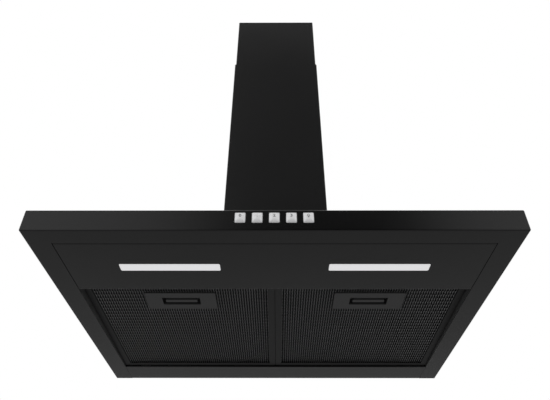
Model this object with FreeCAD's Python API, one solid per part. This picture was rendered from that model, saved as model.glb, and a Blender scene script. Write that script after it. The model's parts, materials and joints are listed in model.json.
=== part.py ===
"""Chimney range hood, 60 cm wide, wall mounted, in millimetres.

X runs to the right as seen from the front, Y towards the wall and Z up. The origin is the
centre of the four wall holes, on the wall's face, so the whole hood lies at Y below zero.
"""
import FreeCAD, Part
import math
import os

V = FreeCAD.Vector
X = V(1, 0, 0)
Y = V(0, 1, 0)
Z = V(0, 0, 1)
SIDES = {"left": -1, "right": 1}

# ---------------------------------------------------------------- driving dimensions
# Sheet metal
sheet = 0.8                     # steel of the canopy and of the chimney
fold_radius = 1.0               # inside radius of an ordinary fold
tight_fold = 0.35               # inside radius of a hem or a joggle
seam = 0.3                      # gap left between two panels that butt
running_gap = 0.3               # gap between faces that slide or swing past each other
past = 1.0                      # how far a cut runs beyond what it cuts
shaft_gap = 0.05                # radial clearance of a shaft or pin in its hole

# Canopy
canopy_width = 600.0
canopy_depth = 486.0
canopy_height = 30.0
front_flange = 27.4             # underside flange behind the fascia
side_flange = 30.0              # underside flanges at the two sides
mount_height = 155.0            # wall holes' centre above the underside
rear_panel_flange = 12.0

# Rear rail, which carries the filters' tongues
rail_depth = 56.8
rail_lip = 3.0
rail_ledge = 16.0

# Side walls of the filter bay
bay_wall_foot = 15.0

# Lamp panel
lamp_panel_depth = 114.3
lamp_panel_tongue = 12.0        # the part that lies on the front flange
window_length = 129.5
window_width = 16.0
window_radius = 2.0
window_from_front = 83.6
window_lip = 3.0
window_lip_thickness = 1.0
lamp_housing_height = 12.0
lamp_housing_wall = 1.2
led_board_thickness = 1.6
led_count = 6
led_size = 3.2
led_height = 0.7

# Push buttons in the fascia
button_count = 5
button_pitch = 20.4
button_width = 13.0
button_height = 15.8
button_centre_height = 18.6     # above the underside
button_proud = 1.2
button_corner = 1.5
button_edge = 0.6               # rounding of a button's face
button_travel = 3.0
button_flange = 1.0             # thickness of the collar behind the fascia
button_flange_rim = 0.9
button_stem = 6.0
button_stem_length = 9.0
button_gap = 0.2
switch_depth = 14.0
switch_height = 20.0
switch_wall = 3.0
switch_bracket_foot = 14.0      # the foot on the canopy's top reaches this far behind the housing

# Grease filters
filter_thickness = 9.0
filter_corner = 3.0
filter_member = 9.7             # width of a frame member
filter_sheet = 1.0
filter_side_gap = 1.0           # to the wall of the filter bay
filter_front_gap = 1.6          # to the keeper flange of the lamp panel
filter_front_rise = 6.5         # the front edge lies this much higher than the rear one
tongue_width = 30.0
tongue_length = 6.0
tongue_spacing = 150.0
mesh_pitch = 4.0
mesh_pleat = 4.0                # height of a pleat
mesh_rise = 1.2                 # the mesh's thickness, measured upwards
mesh_recess = 2.6               # from the frame's lower face to the pleats' tips

# Filter handles and latches
handle_width = 102.0
handle_depth = 46.0
handle_outward = 1.7            # from the filter's middle towards the hood's side
handle_from_front = 27.1        # from the filter's front edge to the plate
handle_plate = 2.0
handle_rim = 5.0                # the plate's overlap under the mesh
recess_width = 55.0
recess_depth = 20.0
recess_corner = 1.5
handle_wall = 2.0
latch_ledge = 3.0
latch_thickness = 2.7
latch_bar_width = 46.0
latch_bar_depth = 6.8
bolt_width = 24.0
bolt_reach = 0.3                # from the frame's front face to the bolt's tip, at rest
bolt_lead = 0.9                 # rounding of the bolt's upper front edge
latch_travel = 3.0
spring_room = 3.0               # left in the pocket when the latch is fully back
latch_cover = 1.5
spring_wire = 0.5
spring_diameter = 2.9
spring_turns = 6

# Blower box, on top of the canopy and against the wall
blower_box_width = 160.0
blower_box_depth = 165.0
blower_box_height = 225.0
blower_sheet = 1.0
blower_box_flange = 12.0
wall_hole_spacing_x = 136.0
wall_hole_spacing_z = 120.0
wall_hole_radius = 4.0
foot_screw_from_end = 27.5
air_opening_margin = 8.0
air_opening_rear = 16.0         # from the wall
air_opening_corner = 6.0

# Fan wheel and volute
wheel_width = 92.0
blade_count = 32
blade_depth = 10.0
blade_thickness = 1.1
blade_sweep = 7.5               # degrees from a blade's inner edge to its outer one
blade_bow = 0.3                 # part of the sweep that is reached half-way out
blade_inset = 0.5               # a blade's outer edge inside the rims' edge
rim_thickness = 2.0
wheel_disc = 2.0
hub_radius = 9.0
hub_length = 16.0
shaft_radius = 3.0
volute_wall = 2.0
volute_width = 112.0
volute_from_box = 4.5           # the scroll's flange to the box's front panel
volute_gap = 6.0                # wheel to the narrowest place of the scroll
spiral_step = 4.0               # how much each quarter turn widens
volute_floor_gap = 22.0         # scroll's lowest point above the canopy
cutoff_angle = 60.0
volute_flange = 3.0
volute_ear = 5.0
volute_ear_stand = 3.0          # an ear's screw outside the scroll
inlet_inside_blades = 2.0       # the inlet is this much narrower than the ring of blades
inlet_lip = 5.0
inlet_lip_wall = 1.5

# Motor
motor_radius = 34.0
motor_length = 40.0
motor_corner = 4.0
motor_neck = 2.0                # how far the neck stands out behind the bracket
motor_neck_radius = 16.0
motor_boss_radius = 12.0
motor_boss_length = 5.0
shaft_from_back = 10.0          # the shaft's hidden end, from the motor's mounting face
bracket_sheet = 1.5
bracket_ring = 22.0
bracket_leg_width = 12.0
bracket_legs = 3

# Outlet collar and flaps
collar_radius = 74.5            # outside of the spigot, for a 150 mm duct
collar_wall = 2.0
collar_height = 45.0
collar_flange = 4.5
collar_flange_thickness = 2.0
collar_ear = 4.5
collar_ear_reach = 8.0          # from the spigot's outside to an ear's screw
collar_ear_angle = 30.0         # degrees from the box's width to an ear
flap_pin_height = 12.0          # above the collar's flange
flap_pin_radius = 1.5
flap_pin_offset = 4.5           # each pin from the middle of the collar
flap_knuckle = 3.0
flap_thickness = 1.0
flap_rim_gap = 0.6
flap_stop = 2.0

# Cable grommet in the top of the blower box
grommet_radius = 9.0
grommet_groove = 7.0
grommet_bore = 4.0
grommet_height = 6.0
grommet_corner = 12.5           # from the box's side and back

# Chimney
lower_cover_width = 200.0
cover_room = 10.0               # from the blower box's front to the lower cover's
lower_cover_top = 713.0         # above the underside
cover_step = 2.2                # how much smaller the upper cover is, on each side
upper_cover_height = 460.0
upper_cover_top = 894.0         # above the underside
cover_return = 15.0
guide_height = 10.0
guide_length = 50.0
foot_height = 16.0
foot_width = 30.0
front_pair_spacing = 100.0      # between the two front guides, and between the two feet

# Upper chimney bracket
upper_bracket_sheet = 1.5
upper_bracket_height = 20.0
upper_bracket_ear = 40.0
upper_bracket_jog = 4.0
upper_bracket_below_top = 2.0
upper_bracket_plate = 159.0
upper_hole_spacing = 100.0
upper_hole_radius = 3.5

# Electrical parts above the rear rail
electrical_box_depth = 34.0
electrical_box_height = 20.0
electrical_box_wall = 1.6
electrical_box_radius = 3.0
electrical_box_from_side = 20.0
electrical_box_from_blower = 13.0       # from the blower box's flange
electrical_inset = 6.4                  # from the box's ends to what is inside
capacitor_radius = 6.5
capacitor_length = 34.0
capacitor_corner = 0.8
tab_length = 7.0
tab_width = 4.8
tab_thickness = 0.8
tab_spacing = 6.0
terminal_block_length = 40.0
terminal_block_depth = 16.0
terminal_block_height = 12.0
terminal_ways = 4
terminal_corner = 0.9
terminal_hole = 1.8
terminal_well = 2.2
terminal_well_depth = 4.0
terminal_well_offset = 4.0      # each row of wells from the block's middle
driver_length = 90.0
driver_depth = 30.0
driver_height = 16.0
driver_radius = 2.5
driver_ear_reach = 9.0
driver_ear_width = 14.0
driver_ear_thickness = 2.0

# Small screws
screw_shank = 1.6
screw_head = 3.0
screw_head_height = 1.6
screw_length = 8.0
screw_clearance = 0.2

# ---------------------------------------------------------------- derived places
underside = -mount_height
canopy_top = underside + canopy_height
ceiling_inside = canopy_top - sheet
floor_inside = underside + sheet
front = -canopy_depth
half_width = canopy_width / 2
bay_half = half_width - side_flange
rail_front = -rail_depth
keeper = front + front_flange + lamp_panel_depth        # rear face of the keeper flange
pivot = V(0, rail_front, underside + rail_lip)          # line about which both filters swing
filter_length = rail_front - running_gap - keeper - filter_front_gap
filter_tilt = math.degrees(math.asin(filter_front_rise / filter_length))
filter_inner_x = seam
filter_outer_x = bay_half + seam - filter_side_gap
window_centre_x = bay_half / 2
handle_centre_x = (filter_inner_x + filter_outer_x) / 2 + handle_outward
box_top = canopy_top + blower_box_height
blower_y = -blower_box_depth / 2
scroll_room = blower_box_depth / 2 - blower_sheet - volute_from_box - volute_flange
scroll_radius = scroll_room - 2 * spiral_step           # outside, at the cut-off
wheel_radius = scroll_radius - volute_wall - volute_gap
inlet_radius = wheel_radius - blade_depth - inlet_inside_blades
fan_centre = V(0, blower_y + spiral_step, canopy_top + volute_floor_gap + scroll_radius + spiral_step)
volute_top = box_top - blower_sheet
blower_flange_x = blower_box_width / 2 + blower_box_flange
electrical_box_end = bay_half - electrical_box_from_side
electrical_box_length = electrical_box_end - electrical_box_from_blower - blower_flange_x
collar_base = box_top + collar_flange_thickness
lower_cover_depth = blower_box_depth + cover_room
upper_half = lower_cover_width / 2 - cover_step
upper_top = underside + upper_cover_top


# ---------------------------------------------------------------- general shapes
def block(low, high):
    """A box between two corners."""
    return Part.makeBox(high[0] - low[0], high[1] - low[1], high[2] - low[2], V(*low))


def rod(radius, length, start, direction):
    return Part.makeCylinder(radius, length, start, direction)


def tube(outer, inner, length, start, direction):
    return rod(outer, length, start, direction).cut(rod(inner, length, start, direction))


def fused(shapes):
    shapes = list(shapes)
    return shapes[0].multiFuse(shapes[1:]).removeSplitter() if len(shapes) > 1 else shapes[0]


def rounded_edges(shape, radius, wanted):
    """Round the straight edges whose middle and direction satisfy the test."""
    edges = []
    for edge in shape.Edges:
        direction = edge.Vertexes[-1].Point - edge.Vertexes[0].Point
        if wanted(edge.CenterOfMass, direction):
            edges.append(edge)
    return shape.makeFillet(radius, edges)


def rounded_block(low, high, radius, direction):
    """A box with the four edges along one direction rounded."""
    return rounded_edges(block(low, high), radius, lambda middle, run: run.cross(direction).Length < 1e-6)


def polygon(points):
    return Part.Face(Part.makePolygon([V(*p) for p in points] + [V(*points[0])]))


def left_of(direction):
    return V(-direction.y, direction.x, 0)


def moved_left(points, distance):
    """The same open path moved to its left, mitred at its corners."""
    moved = []
    for i, point in enumerate(points):
        before = (point - points[i - 1]).normalize() if i else None
        after = (points[i + 1] - point).normalize() if i + 1 < len(points) else None
        if before is None or after is None:
            moved.append(point + left_of(after or before) * distance)
            continue
        normal = left_of(before) + left_of(after)
        moved.append(point + normal * (distance / (1 + before.dot(after))))
    return moved


def rounded_path(points, radii):
    """Edges along an open path whose corners have these radii."""
    edges = []
    start = points[0]
    for before, corner, after, radius in zip(points, points[1:], points[2:], radii):
        a = (before - corner).normalize()
        b = (after - corner).normalize()
        half = a.getAngle(b) / 2
        reach = radius / math.tan(half)
        bisector = (a + b).normalize()
        middle = corner + bisector * (radius / math.sin(half) - radius)
        edges.append(Part.LineSegment(start, corner + a * reach).toShape())
        edges.append(Part.Arc(corner + a * reach, middle, corner + b * reach).toShape())
        start = corner + b * reach
    edges.append(Part.LineSegment(start, points[-1]).toShape())
    return edges


def folded_face(path, thickness, radius):
    """Section of a folded sheet that lies to the left of a path, with rounded folds."""
    points = [V(u, v, 0) for u, v in path]
    other = moved_left(points, thickness)
    near = []
    far = []
    for before, corner, after in zip(points, points[1:], points[2:]):
        turns_left = (corner - before).cross(after - corner).z > 0
        near.append(radius + thickness if turns_left else radius)
        far.append(radius if turns_left else radius + thickness)
    edges = rounded_path(points, near)
    edges += rounded_path(other, far)
    edges.append(Part.LineSegment(points[0], other[0]).toShape())
    edges.append(Part.LineSegment(points[-1], other[-1]).toShape())
    return Part.Face(Part.Wire(Part.__sortEdges__(edges)))


def folded_along_x(path, thickness, radius, low, high):
    """A folded sheet whose section is given in Y and Z."""
    face = folded_face(path, thickness, radius)
    face.Placement = FreeCAD.Placement(V(low, 0, 0), FreeCAD.Rotation(V(1, 1, 1), 120))
    return face.extrude(X * (high - low))


def folded_along_y(path, thickness, radius, low, high):
    """A folded sheet whose section is given in X and Z."""
    face = folded_face(path, thickness, radius)
    face.Placement = FreeCAD.Placement(V(0, low, 0), FreeCAD.Rotation(X, 90))
    return face.extrude(Y * (high - low))


def folded_along_z(path, thickness, radius, low, high):
    """A folded sheet whose section is given in X and Y."""
    face = folded_face(path, thickness, radius)
    face.translate(Z * low)
    return face.extrude(Z * (high - low))


def mirrored(shape, side):
    """The shape as drawn for the right, or its mirror image for the left."""
    return shape if side > 0 else shape.mirror(V(0, 0, 0), X)


def screw(seat, inward, length=screw_length):
    """A pan-head screw whose head rests on the seat and whose shank runs inward."""
    top = seat - inward * screw_head_height
    body = rod(screw_shank, length, seat, inward)
    cap = rod(screw_head, screw_head_height, top, inward)
    rim = [e for e in cap.Edges if abs((e.CenterOfMass - top).dot(inward)) < 1e-6 and e.Closed]
    return fused([body, cap.makeFillet(screw_head_height / 2, rim)])


def screw_hole(seat, inward, depth):
    return rod(screw_shank + screw_clearance, depth * 2, seat - inward * depth, inward)


# ---------------------------------------------------------------- canopy
def tray(inset, radius, rear):
    """The canopy's outline, inset by the sheet's thickness for the inner face."""
    low = (-half_width + inset, front + inset, underside + inset)
    high = (half_width - inset, rear, canopy_top - inset)
    middle_y = (low[1] + high[1]) / 2

    def is_fold(middle, run):
        at_rear = abs(middle.y - rear) < 1e-6
        upright = abs(run.z) > 1 and middle.y < middle_y
        return not at_rear and (upright or abs(run.z) < 1e-6)

    return rounded_edges(block(low, high), radius, is_fold)


def button_places():
    first = -(button_count - 1) / 2
    return [V((first + i) * button_pitch, front, underside + button_centre_height)
            for i in range(button_count)]


def button_block(centre, grow, low_y, high_y, radius):
    """A button's rounded outline, grown on every side, between two depths."""
    half = V(button_width / 2 + grow, 0, button_height / 2 + grow)
    low = (centre.x - half.x, low_y, centre.z - half.z)
    high = (centre.x + half.x, high_y, centre.z + half.z)
    return rounded_block(low, high, radius, Y)


def blower_foot_screws():
    """Seats of the four screws that hold the blower box's flanges."""
    x = blower_box_width / 2 + blower_box_flange / 2
    ends = (-foot_screw_from_end, foot_screw_from_end - blower_box_depth)
    return [V(side * x, y, canopy_top + blower_sheet) for side in SIDES.values() for y in ends]


def canopy_shell():
    shell = tray(0, fold_radius + sheet, 0).cut(tray(sheet, fold_radius, sheet))
    bay = block((-bay_half, front + front_flange, underside - past),
                (bay_half, past, floor_inside + past))
    shell = shell.cut(bay)
    half = blower_box_width / 2 - air_opening_margin
    opening = rounded_block((-half, air_opening_margin - blower_box_depth, ceiling_inside - past),
                            (half, -air_opening_rear, canopy_top + past), air_opening_corner, Z)
    shell = shell.cut(opening)
    for place in button_places():
        hole = button_block(place, button_gap, front - past, front + sheet + past, button_corner)
        shell = shell.cut(hole)
    for seat in blower_foot_screws():
        shell = shell.cut(screw_hole(seat, -Z, screw_length))
    return shell


def rear_panel():
    path = [(-rear_panel_flange, floor_inside), (0, floor_inside),
            (0, ceiling_inside), (-rear_panel_flange, ceiling_inside)]
    inside = half_width - sheet - fold_radius
    return folded_along_x(path, sheet, fold_radius, -inside, inside)


def rear_rail():
    path = [(rail_front + rail_ledge, underside + rail_lip), (rail_front, underside + rail_lip),
            (rail_front, underside), (-sheet, underside)]
    return folded_along_x(path, sheet, tight_fold, seam - bay_half, bay_half - seam)


def bay_wall(side):
    foot = bay_half + seam + bay_wall_foot
    path = [(foot, ceiling_inside), (bay_half + seam, ceiling_inside),
            (bay_half + seam, floor_inside), (foot, floor_inside)]
    low = front + front_flange
    high = -rear_panel_flange - seam
    return mirrored(folded_along_y(path, sheet, fold_radius, low, high), side)


# ---------------------------------------------------------------- lamps
def window_box(centre_x, grow, low_z, high_z):
    y = front + window_from_front
    half = (window_length / 2 + grow, window_width / 2 + grow)
    return rounded_block((centre_x - half[0], y - half[1], low_z),
                         (centre_x + half[0], y + half[1], high_z), window_radius, Z)


def bolt_floor():
    """Lower face of the latch bolt, above the filter's lower face."""
    return filter_thickness + running_gap


def keeper_top():
    """Top of the keeper flange: the bolt, thrown over it, rests just above."""
    tilt = math.radians(filter_tilt)
    reach = rail_front - keeper
    return pivot.z + reach * math.sin(tilt) + bolt_floor() * math.cos(tilt) - running_gap


def lamp_panel():
    butt = front + front_flange + seam
    path = [(butt - lamp_panel_tongue, floor_inside), (butt, floor_inside), (butt + sheet, underside),
            (keeper, underside), (keeper, keeper_top())]
    panel = folded_along_x(path, sheet, tight_fold, seam - bay_half, bay_half - seam)
    for side in SIDES.values():
        centre = side * window_centre_x
        panel = panel.cut(window_box(centre, shaft_gap * 2, underside - past, floor_inside + past))
    return panel


def lamp_window(side):
    centre = side * window_centre_x
    pane = window_box(centre, 0, underside, floor_inside)
    lip = window_box(centre, window_lip, floor_inside, floor_inside + window_lip_thickness)
    return fused([pane, lip])


def lamp_housing(side):
    """A tray turned over the lamp window; its wall closes round the window's lip."""
    centre = side * window_centre_x
    top = floor_inside + lamp_housing_height
    inside = window_lip + shaft_gap * 2
    shell = window_box(centre, inside + lamp_housing_wall, floor_inside, top)
    return shell.cut(window_box(centre, inside, floor_inside - past, top - lamp_housing_wall))


def led_board(side):
    centre = side * window_centre_x
    y = front + window_from_front
    top = floor_inside + lamp_housing_height - lamp_housing_wall
    low = top - led_board_thickness
    board = block((centre - window_length / 2, y - window_width / 2, low),
                  (centre + window_length / 2, y + window_width / 2, top))
    chips = []
    for i in range(led_count):
        x = centre + (i + 0.5 - led_count / 2) * window_length / led_count
        chips.append(block((x - led_size / 2, y - led_size / 2, low - led_height),
                           (x + led_size / 2, y + led_size / 2, low)))
    return fused([board] + chips)


# ---------------------------------------------------------------- switches
def button_collar_y():
    """Front of the collar that stops a button behind the fascia."""
    return front + sheet + running_gap


def switch_front():
    return button_collar_y() + button_flange + button_travel + running_gap


def button(centre):
    collar_y = button_collar_y()
    cap = button_block(centre, 0, front - button_proud, collar_y, button_corner)
    face = front - button_proud
    rim = [e for e in cap.Edges if abs(e.CenterOfMass.y - face) < 1e-6]
    cap = cap.makeFillet(button_edge, rim)
    collar = button_block(centre, button_flange_rim, collar_y, collar_y + button_flange, button_corner)
    half = button_stem / 2
    stem_y = collar_y + button_flange
    stem = block((centre.x - half, stem_y, centre.z - half),
                 (centre.x + half, stem_y + button_stem_length, centre.z + half))
    return fused([cap, collar, stem])


def switch_housing():
    half = (button_count - 1) * button_pitch / 2 + button_width / 2 + switch_wall
    z = underside + button_centre_height
    low_y = switch_front()
    body = rounded_block((-half, low_y, z - switch_height / 2),
                         (half, low_y + switch_depth, z + switch_height / 2), button_corner, Y)
    stem = button_stem / 2 + running_gap
    depth = button_stem_length + running_gap
    for place in button_places():
        body = body.cut(block((place.x - stem, low_y - past, z - stem),
                              (place.x + stem, low_y + depth, z + stem)))
    return body


def switch_bracket():
    """An angle that hangs from the canopy's top and holds the housing's back."""
    low_y = switch_front() + switch_depth
    path = [(low_y + sheet, underside + button_centre_height - switch_height / 2),
            (low_y + sheet, ceiling_inside - sheet), (low_y + switch_bracket_foot, ceiling_inside - sheet)]
    half = (button_count - 1) * button_pitch / 2
    return folded_along_x(path, sheet, tight_fold, -half, half)


# ---------------------------------------------------------------- grease filters
# A filter is drawn flat, with the pivot line as its rear lower edge, and then tilted.
def tilted(shape, side):
    """Put a filter piece in place: mirror it for its side, move it to the pivot and tilt it."""
    placed = mirrored(shape, side)
    placed.translate(pivot)
    placed.rotate(pivot, X, -filter_tilt)
    return placed


def filter_front():
    return -running_gap - filter_length


def handle_centre_y():
    return filter_front() + handle_from_front + handle_depth / 2


def filter_frame(side):
    low = (filter_inner_x, filter_front(), 0)
    high = (filter_outer_x, -running_gap, filter_thickness)
    frame = rounded_block(low, high, filter_corner, Z)
    window = rounded_block((low[0] + filter_member, low[1] + filter_member, -past),
                           (high[0] - filter_member, high[1] - filter_member, filter_thickness + past),
                           filter_sheet, Z)
    slot = block((low[0] + filter_sheet, low[1] + filter_sheet, filter_sheet),
                 (high[0] - filter_sheet, high[1] - filter_sheet, filter_thickness - filter_sheet))
    frame = frame.cut(window).cut(slot)
    middle = (filter_inner_x + filter_outer_x) / 2
    tongues = []
    for sign in SIDES.values():
        x = middle + sign * tongue_spacing / 2
        tongues.append(rounded_block((x - tongue_width / 2, -running_gap - filter_sheet, running_gap),
                                     (x + tongue_width / 2, tongue_length, running_gap + filter_sheet),
                                     filter_sheet, Z))
    return tilted(fused([frame] + tongues), side)


def pleated_section(low_x, high_x):
    """Section of the pleated mesh across the filter: a zigzag and the same zigzag above it."""
    count = int((high_x - low_x) / mesh_pitch)
    start = (low_x + high_x - count * mesh_pitch) / 2
    zigzag = [(low_x, mesh_recess + mesh_pleat), (start, mesh_recess + mesh_pleat)]
    for i in range(count):
        zigzag.append((start + (i + 0.5) * mesh_pitch, mesh_recess))
        zigzag.append((start + (i + 1) * mesh_pitch, mesh_recess + mesh_pleat))
    zigzag.append((high_x, mesh_recess + mesh_pleat))
    lower = [(x, 0, z) for x, z in zigzag]
    upper = [(x, 0, z + mesh_rise) for x, z in reversed(zigzag)]
    return polygon(lower + upper)


def handle_body_box(grow, low_z, high_z):
    """The handle's deep part, which passes through the mesh."""
    half = (handle_width / 2 - handle_rim + grow, handle_depth / 2 - handle_rim + grow)
    y = handle_centre_y()
    return rounded_block((handle_centre_x - half[0], y - half[1], low_z),
                         (handle_centre_x + half[0], y + half[1], high_z), handle_wall, Z)


def filter_mesh(side):
    low = filter_front() + filter_sheet
    high = -running_gap - filter_sheet
    face = pleated_section(filter_inner_x + filter_sheet, filter_outer_x - filter_sheet)
    face.translate(Y * low)
    pack = face.extrude(Y * (high - low))
    return tilted(pack.cut(handle_body_box(seam, 0, filter_thickness)), side)


def pocket_ledge():
    """Height of the two ledges on which the latch slides."""
    return bolt_floor() - seam


def pocket_top():
    return bolt_floor() + latch_thickness + running_gap


def centred(width, depth, low_z, high_z):
    """A box centred on the handle."""
    y = handle_centre_y()
    return block((handle_centre_x - width / 2, y - depth / 2, low_z),
                 (handle_centre_x + width / 2, y + depth / 2, high_z))


def pocket_depth():
    return handle_depth - 2 * handle_rim - 2 * handle_wall


def latch_plate_size():
    """The sliding plate: it rests on both ledges and leaves room for its travel and the spring."""
    width = recess_width + 2 * latch_ledge - 2 * running_gap
    return width, pocket_depth() - 2 * (latch_travel + spring_room)


def filter_handle(side):
    y = handle_centre_y()
    low = (handle_centre_x - handle_width / 2, y - handle_depth / 2, seam)
    high = (handle_centre_x + handle_width / 2, y + handle_depth / 2, seam + handle_plate)
    plate = rounded_block(low, high, handle_wall, Z)
    body = fused([plate, handle_body_box(0, seam, pocket_top())])
    window = rounded_block((handle_centre_x - recess_width / 2, y - recess_depth / 2, -past),
                           (handle_centre_x + recess_width / 2, y + recess_depth / 2, pocket_ledge() + past),
                           recess_corner, Z)
    deep = pocket_depth()
    under = centred(recess_width, deep, seam + handle_plate, pocket_ledge() + past)
    pocket = centred(recess_width + 2 * latch_ledge, deep, pocket_ledge(), pocket_top() + past)
    slot = block((handle_centre_x - bolt_width / 2 - running_gap, y - handle_depth, pocket_ledge()),
                 (handle_centre_x + bolt_width / 2 + running_gap, y, pocket_top() + past))
    return tilted(body.cut(window).cut(under).cut(pocket).cut(slot), side)


def handle_cover(side):
    return tilted(handle_body_box(0, pocket_top(), pocket_top() + latch_cover), side)


def filter_latch(side):
    width, depth = latch_plate_size()
    y = handle_centre_y()
    floor = bolt_floor()
    plate = centred(width, depth, floor, floor + latch_thickness)
    bar = rounded_block((handle_centre_x - latch_bar_width / 2, y - latch_bar_depth / 2, 2 * seam),
                        (handle_centre_x + latch_bar_width / 2, y + latch_bar_depth / 2, floor + seam),
                        recess_corner, Z)
    tip = filter_front() - bolt_reach
    bolt = block((handle_centre_x - bolt_width / 2, tip, floor),
                 (handle_centre_x + bolt_width / 2, y, floor + latch_thickness))
    lead = [e for e in bolt.Edges if abs(e.CenterOfMass.y - tip) < 1e-6
            and abs(e.CenterOfMass.z - floor - latch_thickness) < 1e-6]
    return tilted(fused([plate, bar, bolt.makeFillet(bolt_lead, lead)]), side)


def latch_spring(side):
    """A coil between the sliding plate's rear edge and the pocket's rear wall."""
    start = handle_centre_y() + latch_plate_size()[1] / 2 + spring_wire / 2
    end = handle_centre_y() + pocket_depth() / 2 - spring_wire / 2
    radius = (spring_diameter - spring_wire) / 2
    helix = Part.makeHelix((end - start) / spring_turns, end - start, radius)
    section = Part.Wire(Part.makeCircle(spring_wire / 2, V(radius, 0, 0), Y))
    coil = Part.Wire(helix.Edges).makePipeShell([section], True, True)
    coil.rotate(V(0, 0, 0), X, -90)
    coil.translate(V(handle_centre_x, start, bolt_floor() + latch_thickness / 2))
    return tilted(coil, side)


# ---------------------------------------------------------------- blower box
def wall_holes():
    return [V(sx * wall_hole_spacing_x / 2, 0, sz * wall_hole_spacing_z / 2)
            for sx in SIDES.values() for sz in SIDES.values()]


def grommet_place():
    return V(blower_box_width / 2 - grommet_corner, -grommet_corner, box_top)


def collar_screw_seats():
    radius = collar_radius + collar_ear_reach
    angle = math.radians(collar_ear_angle)
    return [V(sx * radius * math.cos(angle), blower_y + sy * radius * math.sin(angle), collar_base)
            for sx in SIDES.values() for sy in SIDES.values()]


def blower_box():
    """Back and two sides folded from one sheet, with a foot along each side."""
    half = blower_box_width / 2
    path = [(-half, -blower_box_depth), (-half, 0), (half, 0), (half, -blower_box_depth)]
    box = folded_along_z(path[::-1], blower_sheet, fold_radius, canopy_top, box_top)
    feet = []
    for side in SIDES.values():
        low, high = sorted((side * (half - blower_sheet), side * blower_flange_x))
        feet.append(block((low, -blower_box_depth, canopy_top),
                          (high, -fold_radius * 2, canopy_top + blower_sheet)))
    box = fused([box] + feet)
    for hole in wall_holes():
        box = box.cut(rod(wall_hole_radius, blower_sheet + 2 * past, hole - Y * (blower_sheet + past), Y))
    for seat in blower_foot_screws():
        box = box.cut(screw_hole(seat, -Z, screw_length))
    return box


def blower_box_front():
    """Front panel, with a return inside each side wall, cut away where the top panel's flange is."""
    half = blower_box_width / 2 - blower_sheet
    face = -blower_box_depth
    path = [(-half, face + blower_box_flange), (-half, face),
            (half, face), (half, face + blower_box_flange)]
    panel = folded_along_z(path, blower_sheet, fold_radius, canopy_top, box_top)
    notch = block((-half - past, face + blower_sheet, box_top - blower_box_flange - seam),
                  (half + past, face + blower_box_flange + past, box_top + past))
    return panel.cut(notch)


def blower_box_top():
    """Top panel with a flange down inside the front and the back, clear of the side walls' folds."""
    half = blower_box_width / 2 - blower_sheet - fold_radius
    low = blower_sheet - blower_box_depth
    flange = box_top - blower_box_flange
    path = [(-blower_sheet, flange), (-blower_sheet, box_top), (low, box_top), (low, flange)]
    top = folded_along_x(path, blower_sheet, fold_radius, -half, half)
    through = blower_sheet + 2 * past
    below = Z * (blower_sheet + past)
    top = top.cut(rod(collar_radius - collar_wall, through, V(0, blower_y, box_top) - below, Z))
    top = top.cut(rod(grommet_groove + shaft_gap, through, grommet_place() - below, Z))
    for seat in collar_screw_seats():
        top = top.cut(screw_hole(seat, -Z, screw_length))
    return top


# ---------------------------------------------------------------- volute
def scroll_face(inset):
    """Outline of the scroll and its outlet: arcs that widen by one step each quarter turn."""
    small = scroll_radius - inset
    step = spiral_step
    c = fan_centre
    cut = math.radians(cutoff_angle)
    first = V(0, c.y - step, c.z + step)      # centre of the widest quarter
    second = V(0, c.y - step, c.z)
    front_y = c.y - step - (small + 2 * step)
    bottom = V(0, first.y, first.z - (small + 2 * step))
    back = V(0, second.y + small + step, c.z)
    lip = V(0, c.y + small * math.cos(cut), c.z + small * math.sin(cut))
    start = V(0, front_y, first.z)
    top_front = V(0, front_y, volute_top)
    top_back = V(0, c.y + small, volute_top)

    def at(centre, radius, degrees):
        a = math.radians(degrees)
        return centre + V(0, radius * math.cos(a), radius * math.sin(a))

    edges = [
        Part.LineSegment(top_front, start).toShape(),
        Part.Arc(start, at(first, small + 2 * step, 225), bottom).toShape(),
        Part.Arc(bottom, at(second, small + step, 315), back).toShape(),
        Part.Arc(back, at(V(0, c.y, c.z), small, cutoff_angle / 2), lip).toShape(),
        Part.LineSegment(lip, top_back).toShape(),
        Part.LineSegment(top_back, top_front).toShape(),
    ]
    return Part.Face(Part.Wire(edges))


def ear_places():
    """Where the two halves are screwed together, one ear on each arc of the scroll."""
    arcs = ((2, 225, V(0, -1, 1)), (1, 315, V(0, -1, 0)), (0, cutoff_angle / 2, V(0, 0, 0)))
    places = []
    for turns, degrees, shift in arcs:
        reach = scroll_radius + turns * spiral_step + volute_ear_stand
        a = math.radians(degrees)
        places.append(fan_centre + shift * spiral_step + V(0, reach * math.cos(a), reach * math.sin(a)))
    return places


def volute_solid():
    half = volute_width / 2
    outer = scroll_face(0)
    outer.translate(X * -half)
    inner = scroll_face(volute_wall)
    inner.translate(X * (volute_wall - half))
    flange = scroll_face(-volute_flange)
    flange.translate(X * -volute_wall)
    shell = fused([outer.extrude(X * volute_width), flange.extrude(X * 2 * volute_wall)]
                  + [rod(volute_ear, 2 * volute_wall, ear - X * volute_wall, X) for ear in ear_places()])
    hollow = inner.extrude(X * (volute_width - 2 * volute_wall))
    inlets = rod(inlet_radius + inlet_lip, volute_width + 2 * past, fan_centre - X * (half + past), X)
    shell = shell.cut(hollow).cut(inlets)
    for ear in ear_places():
        shell = shell.cut(screw_hole(ear, X, 3 * volute_wall))
    return shell


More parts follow.
